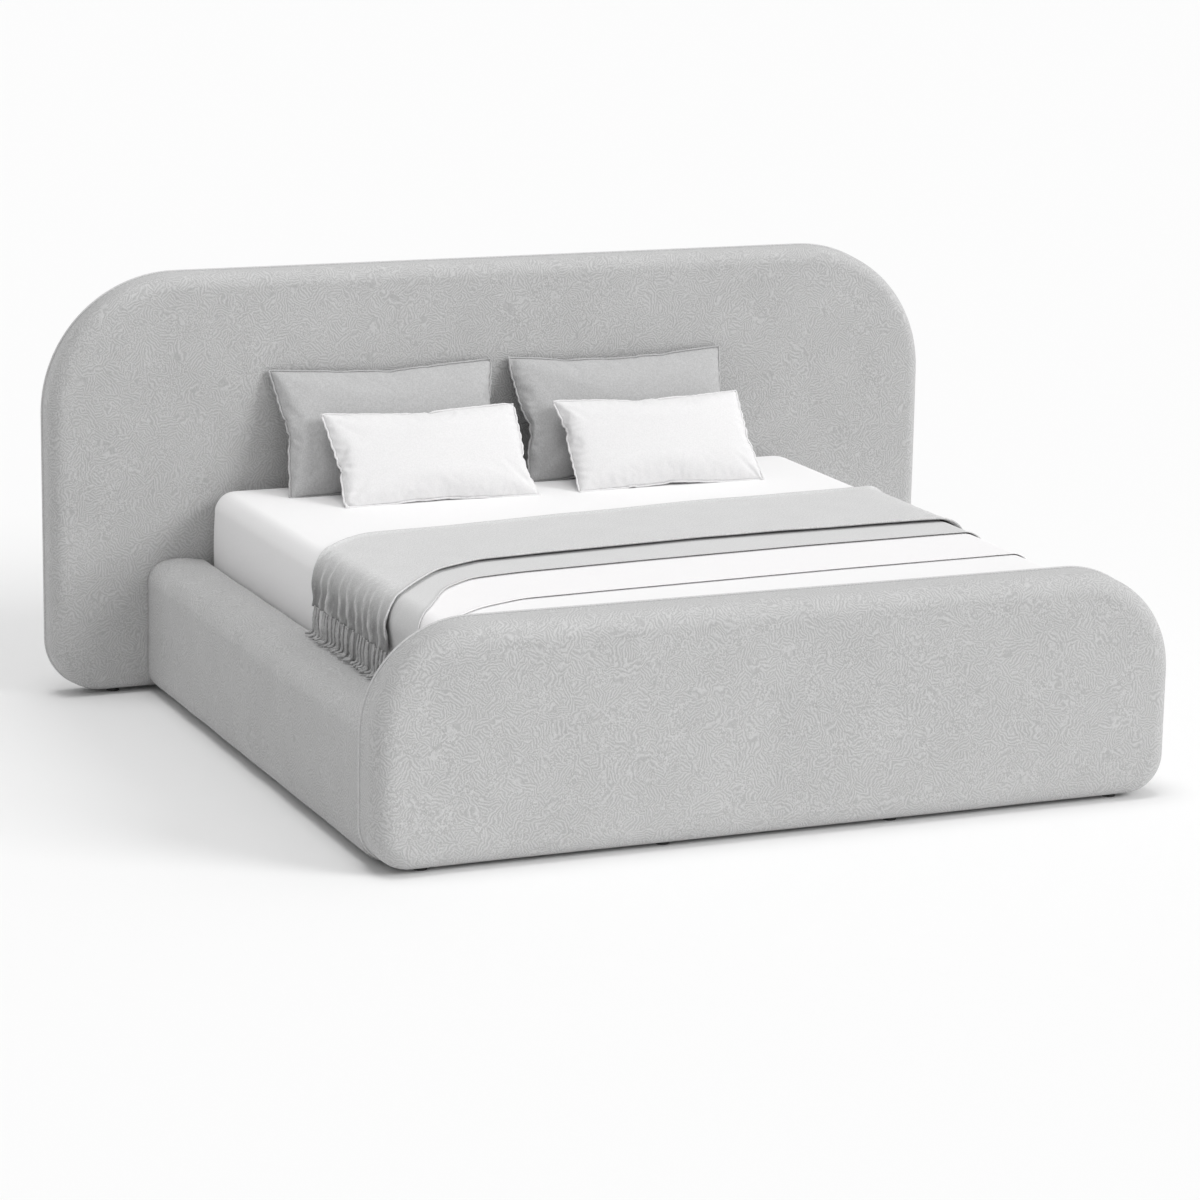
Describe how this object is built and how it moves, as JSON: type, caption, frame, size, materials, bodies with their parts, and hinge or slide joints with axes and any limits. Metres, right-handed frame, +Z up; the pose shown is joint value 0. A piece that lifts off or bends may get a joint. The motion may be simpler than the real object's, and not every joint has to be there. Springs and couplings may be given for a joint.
{
  "type": "box spring bed",
  "caption": "Upholstered double bed with wide rounded headboard, low rounded footboard and padded side rails, holding box springs, a mattress, layered covers and leaning pillows",
  "frame": {"origin": "on the floor, under the middle of the whole bed", "axes": "+Z up; +Y towards the headboard; +X to the right as seen from the foot; left and right are as seen from the foot"},
  "size_m": [3.035, 2.28, 1.3265],
  "materials": {
    "upholstery": "light grey woven chenille",
    "upholstery_piping": "piping of the same light grey cloth",
    "padding": "off-white foam and wadding",
    "plywood": "raw plywood",
    "timber": "planed softwood",
    "coated_steel": "matt black powder coat",
    "zinc_steel": "zinc plated",
    "black_plastic": "moulded black plastic",
    "white_sheet": "smooth white cotton",
    "white_coverlet": "white cotton, slightly thicker than the sheet",
    "grey_blanket": "pale grey brushed weave",
    "grey_throw": "pale grey soft weave with a twisted fringe",
    "ticking": "white knitted ticking",
    "dust_cloth": "black non-woven underside cloth",
    "pocket_springs": "block of fabric-pocketed springs",
    "grey_pillowcase": "light grey smooth cotton",
    "white_pillowcase": "white smooth cotton"
  },
  "bodies": {
    "bed_frame": {"footboard_back_cover": "upholstery", "footboard_board": "plywood", "footboard_cover": "upholstery", "footboard_foam": "padding", "footboard_frame": "timber", "footboard_piping": "upholstery_piping", "footboard_wadding": "padding", "headboard_back_cover": "upholstery", "headboard_board": "plywood", "headboard_cover": "upholstery", "headboard_foam": "padding", "headboard_frame": "timber", "headboard_piping": "upholstery_piping", "rail_cover_left": "upholstery", "rail_cover_right": "upholstery", "rail_foam_left": "padding", "rail_foam_right": "padding", "rail_frame_left": "timber", "rail_frame_right": "timber", "rail_ledger_left": "timber", "rail_ledger_right": "timber", "centre_beam": "coated_steel", "beam_hangers": "coated_steel", "centre_legs": "coated_steel", "leg_feet": "black_plastic", "glides": "black_plastic", "corner_brackets": "coated_steel", "frame_bolts": "zinc_steel"},
    "box_springs": {"box_cover_left": "ticking", "box_cover_right": "ticking", "box_dust_cloth_left": "dust_cloth", "box_dust_cloth_right": "dust_cloth", "box_frame_left": "timber", "box_frame_right": "timber", "box_padding_left": "padding", "box_padding_right": "padding", "box_springs_left": "zinc_steel", "box_springs_right": "zinc_steel", "box_wire_grid_left": "zinc_steel", "box_wire_grid_right": "zinc_steel"},
    "mattress": {"mattress_base_foam": "padding", "mattress_border_foam": "padding", "mattress_comfort_foam": "padding", "mattress_pocket_springs": "pocket_springs", "mattress_ticking": "ticking", "fitted_sheet": "white_sheet", "white_coverlet": "white_coverlet", "grey_blanket": "grey_blanket", "fringed_throw": "grey_throw", "throw_fringe_left": "grey_throw", "throw_fringe_right": "grey_throw"},
    "grey_pillow_left": {"grey_pillow_left_cover": "grey_pillowcase", "grey_pillow_left_filling": "padding"},
    "grey_pillow_right": {"grey_pillow_right_cover": "grey_pillowcase", "grey_pillow_right_filling": "padding"},
    "white_pillow_left": {"white_pillow_left_cover": "white_pillowcase", "white_pillow_left_filling": "padding"},
    "white_pillow_right": {"white_pillow_right_cover": "white_pillowcase", "white_pillow_right_filling": "padding"}
  },
  "joints": [
    {"name": "box_springs_lift", "type": "slide", "parent": "bed_frame", "child": "box_springs", "axis": [0, 0, 1], "range_m": [0, 0.6]},
    {"name": "mattress_lift", "type": "slide", "parent": "box_springs", "child": "mattress", "axis": [0, 0, 1], "range_m": [0, 0.4]},
    {"name": "grey_pillow_left_lift", "type": "slide", "parent": "mattress", "child": "grey_pillow_left", "axis": [0, 0, 1], "range_m": [0, 0.45]},
    {"name": "grey_pillow_right_lift", "type": "slide", "parent": "mattress", "child": "grey_pillow_right", "axis": [0, 0, 1], "range_m": [0, 0.45]},
    {"name": "white_pillow_left_lift", "type": "slide", "parent": "grey_pillow_left", "child": "white_pillow_left", "axis": [0, 0, 1], "range_m": [0, 0.3]},
    {"name": "white_pillow_right_lift", "type": "slide", "parent": "grey_pillow_right", "child": "white_pillow_right", "axis": [0, 0, 1], "range_m": [0, 0.3]}
  ]
}
